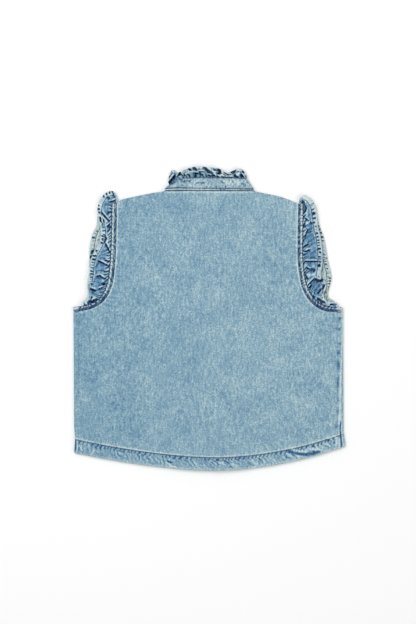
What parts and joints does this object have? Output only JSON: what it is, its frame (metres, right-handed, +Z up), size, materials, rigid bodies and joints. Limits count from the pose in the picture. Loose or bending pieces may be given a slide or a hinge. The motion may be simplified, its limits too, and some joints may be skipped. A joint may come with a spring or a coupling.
{
  "type": "child's denim vest",
  "caption": "Child's sleeveless denim vest laid flat, back up, with a stand collar, gathered ruffles along the collar and armholes, and a curved roped hem.",
  "frame": {"origin": "on the table under the middle of the flat vest", "axes": "+X across the vest to the wearer's right, +Y from the hem to the collar, +Z up out of the back"},
  "size_m": [0.3266, 0.365, 0.0085],
  "materials": {
    "washed_denim": "light-wash indigo denim, right side",
    "worn_denim": "light-wash denim, abraded along its seams",
    "gathered_denim": "light-wash denim in tight gathers, pale on its wrong side",
    "button_metal": "dull antique silver"
  },
  "bodies": {
    "root": {"back_panel": "washed_denim", "front_panel_left": "washed_denim", "front_panel_right": "washed_denim", "side_seam_left": "washed_denim", "side_seam_right": "washed_denim", "collar_stand_back": "worn_denim", "collar_stand_front_left": "worn_denim", "collar_stand_front_right": "worn_denim", "armhole_band_back_left": "worn_denim", "armhole_band_back_right": "worn_denim", "armhole_band_front_left": "worn_denim", "armhole_band_front_right": "worn_denim", "collar_ruffle_back": "gathered_denim", "collar_ruffle_front_left": "gathered_denim", "collar_ruffle_front_right": "gathered_denim", "armhole_ruffle_back_left": "gathered_denim", "armhole_ruffle_back_right": "gathered_denim", "armhole_ruffle_front_left": "gathered_denim", "armhole_ruffle_front_right": "gathered_denim", "button_1": "button_metal", "button_2": "button_metal", "button_3": "button_metal", "button_4": "button_metal", "button_5": "button_metal", "button_collar": "button_metal"}
  },
  "joints": []
}
